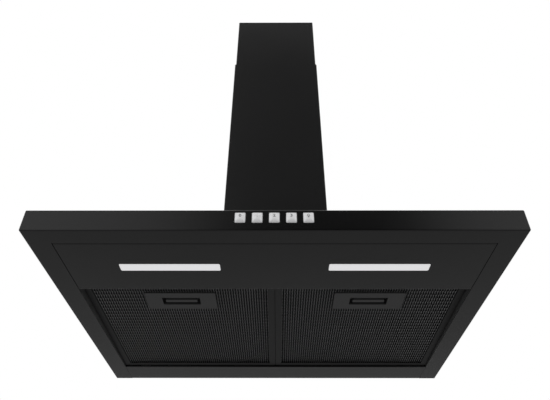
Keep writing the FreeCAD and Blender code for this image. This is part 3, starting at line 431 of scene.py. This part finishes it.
# push buttons, each a crowned cap on a collar and a stem, with a sign on the crown
buttonCap = {
    "width": 12.5 * mm, "height": 14.6 * mm, "depth": 3.3 * mm, "corner": 1.2 * mm,
    "cornerSteps": 6, "rim": 0.4 * mm, "rimSteps": 4, "crown": 1.3 * mm, "crownSteps": 6,
    "crownEase": 0.4, "collar": 1.0 * mm, "collarRim": 1.4 * mm, "stem": 6.0 * mm,
    "overlap": 0.2 * mm, "shy": 0.1 * mm, "lower": 0.15 * mm,
}
buttonSign = {
    "signs": ("0", "1", "2", "3", "lamp"), "size": 6.0 * mm, "rise": 2.5 * mm, "bold": 0.12 * mm,
    "proud": 0.07 * mm, "weld": 0.002 * mm, "clear": 5 * mm,
}
lampSign = {
    "bulbOuter": 1.75 * mm, "bulbInner": 1.15 * mm, "around": 24, "rise": 0.5 * mm,
    "barHalfWidth": 0.9 * mm, "barHalfHeight": 0.25 * mm, "barDrops": (1.7 * mm, 2.5 * mm),
}


def frontFace(bm):
    return min(bm.faces, key=lambda f: f.calc_center_median().y)


def makeButton(index):
    d = buttonCap
    node = f"button_{index}"
    low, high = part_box(node)
    low.y += d["shy"]
    middle = (low + high) / 2
    middle.z -= d["lower"]
    half = Vector((d["width"] / 2, 0, d["height"] / 2))
    back = low.y + d["depth"]
    bm = bmesh.new()
    cap = boxInto(bm, (-half.x, low.y + d["crown"], -half.z),
                  (half.x, back - d["collar"], half.z))
    bevelled(bm, edgesAlong(cap, inward), d["corner"], d["cornerSteps"])
    bevelled(bm, list(frontFace(bm).edges), d["rim"], d["rimSteps"])
    crownFace(bm, frontFace(bm), d["crown"], d["crownSteps"], d["crownEase"])
    wide, tall = half.x + d["collarRim"], half.z + d["collarRim"]
    boxInto(bm, (-wide, back - d["collar"] - d["overlap"], -tall), (wide, back, tall))
    stem = d["stem"] / 2
    boxInto(bm, (-stem, back - d["overlap"], -stem), (stem, high.y, stem))
    bmesh.ops.translate(bm, vec=(middle.x, 0, middle.z), verts=bm.verts)
    surface = BVHTree.FromBMesh(bm)
    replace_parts(pieceFrom(bm, f"buttonCap{index}", node, "button_silver"), node)
    return surface, Vector((middle.x, low.y, middle.z + buttonSign["rise"]))


def digitInto(bm, digit):
    curve = bpy.data.curves.new("digit", "FONT")
    curve.body = digit
    curve.size = buttonSign["size"]
    curve.offset = buttonSign["bold"]
    curve.align_x = "CENTER"
    curve.align_y = "CENTER"
    holder = bpy.data.objects.new("digit", curve)
    mesh = bpy.data.meshes.new_from_object(holder)
    bm.from_mesh(mesh)
    bpy.data.meshes.remove(mesh)
    bpy.data.objects.remove(holder)
    bpy.data.curves.remove(curve)


def lampSignInto(bm):
    d = lampSign
    rings = [bmesh.ops.create_circle(bm, segments=d["around"], radius=radius)["verts"]
             for radius in (d["bulbOuter"], d["bulbInner"])]
    bmesh.ops.bridge_loops(bm, edges=linked([v for ring in rings for v in ring], "edges"))
    bmesh.ops.translate(bm, vec=(0, d["rise"], 0), verts=bm.verts)
    for drop in d["barDrops"]:  # the bulb's cap
        bar = sheetInto(bm, d["barHalfWidth"], d["barHalfHeight"])
        bmesh.ops.translate(bm, vec=(0, -drop, 0), verts=bar)


def makeSign(index, sign, surface, place):
    d = buttonSign
    bm = bmesh.new()
    if sign == "lamp":
        lampSignInto(bm)
    else:
        digitInto(bm, sign)
    bmesh.ops.remove_doubles(bm, verts=bm.verts, dist=d["weld"])
    standUp(bm, bm.verts)
    for v in bm.verts:  # laid on the cap's crown
        before = v.co + place - inward * d["clear"]
        v.co = surface.ray_cast(before, inward)[0] - inward * d["proud"]
    back = bmesh.ops.extrude_face_region(bm, geom=bm.faces)["geom"]
    bmesh.ops.translate(bm, vec=(0, 2 * d["proud"], 0), verts=only(BMVert, back))
    pieceFrom(bm, f"buttonSign{index}", f"button_{index}", "button_silver", smooth=False,
              looks=("buttonMark",))


for index, sign in enumerate(buttonSign["signs"], 1):
    makeSign(index, sign, *makeButton(index))
print("buttons:", len(buttonSign["signs"]))


# lamp panel, with a wider seam to the shell's border
lampPanel = {
    "sideSeam": 0.6 * mm, "sideReach": 0.1 * mm, "frontSeam": 1.0 * mm, "frontFold": 12 * mm,
    "foldReach": 2 * mm, "edge": 0.4 * mm, "edgeSteps": 3, "edgeReach": 1 * mm,
    "underReach": 0.01 * mm, "flatAngle": 1,
}


def makeLampPanel():
    d = lampPanel
    low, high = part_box("lamp_panel")
    bm = mergedCopy("lamp_panel")
    bmesh.ops.dissolve_limit(bm, angle_limit=math.radians(d["flatAngle"]), verts=bm.verts,
                             edges=bm.edges)
    for v in bm.verts:
        if abs(v.co.x) > high.x - d["sideReach"]:
            v.co.x -= math.copysign(d["sideSeam"], v.co.x)
        if abs(v.co.y - low.y - d["frontFold"]) < d["foldReach"]:
            v.co.y += d["frontSeam"]
    under = [e for e in bm.edges if all(
        v.co.z < low.z + d["underReach"] and abs(v.co.x) > high.x - d["edgeReach"]
        for v in e.verts)]
    bevelled(bm, under, d["edge"], d["edgeSteps"], clamp=True)
    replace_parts(pieceFrom(bm, "lampPanel", "root", "black_powder", smooth=False), "lamp_panel")
    return len(under)


print("lamp panel: side edges", makeLampPanel())


# filter nets; a net is drawn flat with the filter's swing line as its rear lower edge, then
# mirrored, tilted and moved, and its strands run from front to rear, two columns to a pitch
filterNet = {
    "swingLine": (0, -56.8 * mm, -152 * mm), "tilt": 1.304, "inner": 2.3 * mm,
    "outer": 267.4 * mm, "rear": -1.6 * mm, "pitch": 3.65 * mm, "cellLength": 10 * mm,
    "thick": 0.4 * mm, "ripple": 0.15 * mm, "bond": 0.06 * mm, "handleX": 136.5 * mm,
    "handleY": -235.8 * mm, "handleHalfX": 46.5 * mm, "handleHalfY": 18.4 * mm,
    "columns": {"crest": (1, 0.25), "valley": (-1, 0.75)},  # first turn, share of the pitch
}
netLayers = {
    "Pleated": {"front": -268.5 * mm, "at": 2.0 * mm, "pleat": 2.2 * mm, "crest": 0.95 * mm,
                "valley": 1.3 * mm, "aside": 0.0, "looks": ("filter_mesh", "filterMeshShaded")},
    "Inner": {"front": -284.5 * mm, "at": 5.4 * mm, "pleat": 0.0, "crest": 1.6 * mm,
              "valley": 1.6 * mm, "aside": -0.25, "looks": ("filterMeshShaded",)},
    "Backing": {"front": -284.5 * mm, "at": 6.6 * mm, "pleat": 0.0, "crest": 1.6 * mm,
                "valley": 1.6 * mm, "aside": 0.0, "looks": ("filterMeshShaded",)},
}


def strandInto(bm, x, start, count, layer, column):
    net = filterNet
    turn = net["columns"][column][0]
    lean = (net["pitch"] - layer["crest"] - layer["valley"]) / 2 + net["bond"]
    made = sheetInto(bm, layer[column] / 2, net["thick"] / 2)
    standUp(bm, made)
    foot = (x - turn * lean / 2, start, layer["at"] + net["ripple"])
    bmesh.ops.translate(bm, vec=foot, verts=made)
    face = made[0].link_faces[0]
    for i in range(count):
        way = 1 if i % 2 == 0 else -1
        grown = bmesh.ops.extrude_face_region(bm, geom=[face])["geom"]
        if i:
            bmesh.ops.delete(bm, geom=[face], context="FACES_ONLY")
        verts = only(BMVert, grown)
        face = only(BMFace, grown)[0]
        step = (way * turn * lean, net["cellLength"] / 2, -way * 2 * net["ripple"])
        bmesh.ops.translate(bm, vec=step, verts=verts)
        made += verts
    # the valley strands take the darker copy, a painted shade in the pleat's valleys
    if column == "valley" and len(layer["looks"]) > 1:
        for face in linked(made, "faces"):
            face.material_index = 1
    return made


def repeatAcross(bm, verts, step, copies):
    geom = verts + linked(verts, "edges") + linked(verts, "faces")
    bmesh.ops.spin(bm, geom=geom, cent=(0, 0, 0), axis=(0, 0, 1), dvec=(step, 0, 0), angle=0,
                   steps=copies - 1, use_duplicate=True)


def netInto(bm, layer):
    net = filterNet
    half = net["cellLength"] / 2
    pitch = net["pitch"]
    total = int((net["rear"] - layer["front"]) / half)
    columns = int((net["outer"] - net["inner"]) / pitch)
    first = int((net["handleX"] - net["handleHalfX"] - net["inner"]) / pitch)
    last = math.ceil((net["handleX"] + net["handleHalfX"] - net["inner"]) / pitch)
    ahead = int((net["handleY"] - net["handleHalfY"] - layer["front"]) / half)
    behind = math.ceil((net["handleY"] + net["handleHalfY"] - layer["front"]) / half / 2) * 2
    whole = ((0, total),)
    broken = ((0, ahead), (behind, total - behind))  # the handle's body stands in the gap
    groups = []
    for low, high, runs in ((0, first, whole), (first, last, broken), (last, columns, whole)):
        verts = []
        for column, (_, share) in net["columns"].items():
            x = net["inner"] + (low + share + layer["aside"]) * pitch
            for begin, count in runs:
                verts += strandInto(bm, x, layer["front"] + begin * half, count, layer, column)
        groups.append((verts, high - low))
    for verts, copies in groups:
        repeatAcross(bm, verts, pitch, copies)
    crest = net["columns"]["crest"][1]
    for v in bm.verts:  # the pleat: nothing on a crest, all of it in a valley
        across = (v.co.x - net["inner"]) / pitch
        v.co.z += layer["pleat"] * abs((across + 0.5 - crest) % 1 - 0.5) * 2


def makeNets(kind):
    layer = netLayers[kind]
    net = filterNet
    drawn = bmesh.new()
    netInto(drawn, layer)
    tilt = Matrix.Rotation(math.radians(-net["tilt"]), 4, "X")
    made = {}
    for side, sign in sides.items():
        bm = drawn.copy()
        bmesh.ops.scale(bm, vec=(sign, 1, 1), verts=bm.verts)
        bmesh.ops.transform(bm, matrix=Matrix.Translation(net["swingLine"]) @ tilt, verts=bm.verts)
        made[side] = pieceFrom(bm, f"filterNet{kind}{side.capitalize()}", f"filter_{side}",
                               "filter_mesh", smooth=False, looks=layer["looks"])
    drawn.free()
    return made


for side, piece in makeNets("Pleated").items():
    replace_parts(piece, f"filter_mesh_{side}")
for kind in ("Inner", "Backing"):
    makeNets(kind)
print("filter nets:", len(sides) * len(netLayers))


# latch springs, between the latch and the handle's rear wall
def makeSpring(side):
    node = f"latch_spring_{side}"
    spring = objectFrom(mergedCopy(node), f"latchSpring{side.capitalize()}", True,
                        [finishes["bright_steel"]])
    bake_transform(spring)
    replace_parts(spring, node)


for side in sides:
    makeSpring(side)
print("latch springs:", len(sides))


# pan-head screws with a cross recess
screw = {
    "head": 3.0 * mm, "headHeight": 1.6 * mm, "shank": 1.6 * mm, "crossLength": 3.4 * mm,
    "crossWidth": 0.75 * mm, "crossDepth": 1.0 * mm, "crossRim": 1.12, "around": 24,
    "pitch": 0.8 * mm, "thread": 0.18 * mm,
    "dome": ((0.78, 0.12), (0.9, 0.3), (0.97, 0.55), (1.0, 0.8), (1.0, 1.0)),  # radius, drop
}


def growRing(bm, edges, scale, lift):
    grown = bmesh.ops.extrude_edge_only(bm, edges=edges)["geom"]
    verts = only(BMVert, grown)
    bmesh.ops.scale(bm, vec=(scale, scale, 1), verts=verts)
    bmesh.ops.translate(bm, vec=(0, 0, lift), verts=verts)
    return only(BMEdge, grown)


def crossInto(bm, arm, reach, depth):
    cells = 3  # five of nine squares make the cross
    bmesh.ops.create_grid(bm, x_segments=cells, y_segments=cells, size=1)
    corners = [f for f in bm.faces if min(abs(c) for c in f.calc_center_median().xy) > 0.5]
    bmesh.ops.delete(bm, geom=corners, context="FACES")
    for v in bm.verts:
        v.co.x *= arm * cells if abs(v.co.x) < 0.5 else reach
        v.co.y *= arm * cells if abs(v.co.y) < 0.5 else reach
    floor = list(bm.faces)
    outline = [e for e in bm.edges if e.is_boundary]
    rim = bmesh.ops.extrude_edge_only(bm, edges=outline)["geom"]
    bmesh.ops.translate(bm, vec=(0, 0, -depth), verts=list({v for f in floor for v in f.verts}))
    bmesh.ops.subdivide_edges(bm, edges=only(BMEdge, rim), cuts=1)


def screwInto(bm, seat, outward, length):
    d = screw
    own = bmesh.new()
    reach = d["crossLength"] / 2
    crossInto(own, d["crossWidth"] / 2, reach, d["crossDepth"])
    upper = [e for e in own.edges if e.is_boundary]
    radius = reach * d["crossRim"]
    circle = bmesh.ops.create_circle(own, cap_ends=False, segments=d["around"],
                                     radius=radius)["verts"]
    ring = linked(circle, "edges")
    bmesh.ops.bridge_loops(own, edges=upper + ring)
    bmesh.ops.translate(own, vec=(0, 0, d["headHeight"]), verts=own.verts)
    low = 0.0
    for share, drop in d["dome"]:
        ring = growRing(own, ring, d["head"] * share / radius, -d["headHeight"] * (drop - low))
        radius, low = d["head"] * share, drop
    ring = growRing(own, ring, d["shank"] / radius, 0)
    turns = int(length / d["pitch"])
    half = length / turns / 2
    root = (d["shank"] - d["thread"]) / d["shank"]
    for _ in range(turns):  # the thread as a row of ridges
        ring = growRing(own, ring, root, -half)
        ring = growRing(own, ring, 1 / root, -half)
    bmesh.ops.contextual_create(own, geom=ring)
    spot = outward.to_track_quat("Z", "X").to_matrix().to_4x4()
    bmesh.ops.transform(own, matrix=Matrix.Translation(seat) @ spot, verts=own.verts)
    carrier = meshFrom(own, "screwCarrier")
    bm.from_mesh(carrier)
    bpy.data.meshes.remove(carrier)


def islandBoxes(node):
    bm = mergedCopy(node)
    seen = set()
    boxes = []
    for start in bm.verts:
        if start in seen:
            continue
        island = front = {start}
        while front:
            front = {e.other_vert(v) for v in front for e in v.link_edges} - island
            island = island | front
        seen |= island
        boxes.append([Vector((pick(v.co[i] for v in island) for i in range(3)))
                      for pick in (min, max)])
    bm.free()
    return boxes


def makeScrews(name, node, body, outward, bothSides=False):
    bm = bmesh.new()
    boxes = islandBoxes(node)
    for low, high in boxes:
        middle = (low + high) / 2
        away = Vector(outward) * (math.copysign(1, middle.x) if bothSides else 1)
        total = abs((high - low).dot(away))
        seat = middle + away * (total / 2 - screw["headHeight"])
        screwInto(bm, seat, away, total - screw["headHeight"])
    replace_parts(pieceFrom(bm, name, body, "bright_steel"), node)
    return len(boxes)


screwSets = {
    "blowerBoxScrews": ("blower_box_screws", "root", (0, 0, 1)),
    "collarScrews": ("collar_screws", "root", (0, 0, 1)),
    "voluteScrews": ("volute_screws", "root", (1, 0, 0)),
    "coverScrews": ("cover_screws", "upper_chimney", (1, 0, 0), True),
}
print("screws:", sum(makeScrews(name, *row) for name, row in screwSets.items()))


# stage
stage = {
    "floor": -1.9, "floorSize": 40.0, "floorSeen": 0.93, "floorMirrored": 0.265,
    "floorRoughness": 0.9, "floorSpecular": 0.1, "worldLight": 0.8,
}


def makeWorld():
    world = bpy.data.worlds.new("studio")
    bpy.context.scene.world = world
    world.use_nodes = True
    wire = Wire(world.node_tree)
    path = world.node_tree.nodes.new("ShaderNodeLightPath")
    seen = Wire(world.node_tree, path.outputs["Is Camera Ray"])
    for name in ("Is Glossy Ray", "Is Transmission Ray"):
        seen = wire.maths("MAXIMUM", seen, Wire(world.node_tree, path.outputs[name]))
    strength = seen + (1 - seen) * stage["worldLight"]
    feed(world.node_tree.nodes["Background"], {"Color": (1, 1, 1, 1), "Strength": strength})


def makeFloor():
    bm = bmesh.new()
    half = stage["floorSize"] / 2
    bmesh.ops.translate(bm, vec=(0, 0, stage["floor"]), verts=sheetInto(bm, half, half))
    made, wire, _ = blank("paleFloor")
    seen = wire.node("LightPath", out="Is Camera Ray")
    dim, pale = ((stage[key],) * 3 for key in ("floorMirrored", "floorSeen"))
    dress(made, {"Base Color": twoTone(wire, seen, dim, pale),
                 "Roughness": stage["floorRoughness"],
                 "Specular IOR Level": stage["floorSpecular"]})
    objectFrom(bm, "floor", False, [made])


def areaLight(name, place, aim, size, power):
    data = bpy.data.lights.new(name, "AREA")
    data.shape = "RECTANGLE"
    data.size, data.size_y = size
    data.energy = power
    lamp = placed(name, data)
    lamp.location = place
    lamp.rotation_euler = (Vector(aim) - Vector(place)).to_track_quat("-Z", "Y").to_euler()
    lamp.visible_glossy = False


camera = {
    "place": (0.0036, -0.9959, -0.5115), "pitch": 38.21, "yaw": 0.32, "roll": 0.16,
    "lens": 34.83, "sensor": 36, "clipStart": 0.05,
}


def makeCamera():
    data = bpy.data.cameras.new("camera")
    data.lens = camera["lens"]
    data.sensor_width = camera["sensor"]
    data.clip_start = camera["clipStart"]
    obj = placed("camera", data)
    turn = Matrix.Rotation(math.radians(camera["yaw"]), 4, "Z")
    tilt = Matrix.Rotation(math.radians(90 + camera["pitch"]), 4, "X")
    roll = Matrix.Rotation(math.radians(camera["roll"]), 4, "Z")
    obj.matrix_world = Matrix.Translation(camera["place"]) @ turn @ tilt @ roll
    bpy.context.scene.camera = obj


card = {  # each gradient as places in metres and levels
    "y": -2.2, "halfWidth": 3.0, "low": -1.9, "high": 4.6,
    "across": ((-1.5, 0.78), (-1.3, 0.76), (-0.65, 0.62), (-0.39, 0.36), (-0.26, 0.13),
               (-0.13, 0.0), (0.42, 0.0), (0.64, 0.0), (0.72, 0.04), (0.9, 0.60), (1.15, 0.67),
               (1.5, 0.70)),
    "upward": ((0.9, 0.0), (1.05, 0.0), (1.17, 0.075), (1.35, 0.185), (1.9, 0.215), (2.6, 0.185),
               (3.1, 0.155), (3.4, 0.115), (4.6, 0.10)),
    "fade": ((1.25, 1.0), (1.6, 0.22), (4.6, 0.06)),
}


def gradient(wire, value, stops):
    low, high = stops[0][0], stops[-1][0]
    colours = [((place - low) / (high - low), (level,) * 3) for place, level in stops]
    return redOf(wire, wire.node("ValToRGB", {"stops": colours},
                                 {"Fac": shareOf(wire, value, low, high)}))


def makeCard():
    # a wide soft card before the hood, seen only in its gloss
    bm = bmesh.new()
    middle = (card["high"] + card["low"]) / 2
    verts = sheetInto(bm, card["halfWidth"], (card["high"] - card["low"]) / 2)
    standUp(bm, verts)
    bmesh.ops.translate(bm, vec=(0, card["y"], middle), verts=verts)
    made, wire, where = blank("softCard")
    x, z = along(wire, where, "X"), along(wire, where, "Z")
    level = gradient(wire, x, card["across"]) * gradient(wire, z, card["fade"])
    glow = wire.node("Emission", {}, {"Strength": level + gradient(wire, z, card["upward"])})
    feed(made.node_tree.nodes["Material Output"], {"Surface": glow})
    board = objectFrom(bm, "card", False, [made])
    for ray in ("camera", "diffuse", "transmission", "volume_scatter", "shadow"):
        setattr(board, f"visible_{ray}", False)


lamps = {
    "keyLamp": {"place": (-1.7, -2.4, 1.9), "aim": (0, -0.3, 0.1), "size": (2.0, 1.4),
                "power": 34},
    "fillLamp": {"place": (2.2, -1.9, 0.9), "aim": (0, -0.3, 0.1), "size": (1.6, 1.6),
                 "power": 12},
    "rearLamp": {"place": (1.2, 2.4, 2.0), "aim": (0, -0.1, 0.2), "size": (1.8, 1.4),
                 "power": 16},
    "lowLamp": {"place": (0, -1.4, -0.95), "aim": (0, -0.25, -0.155), "size": (1.3, 0.6),
                "power": 3},
}
makeWorld()
makeFloor()
makeCard()
for name, lamp in lamps.items():
    areaLight(name, **lamp)
makeCamera()
bpy.context.scene.view_settings.view_transform = "Standard"
print("stage ready")
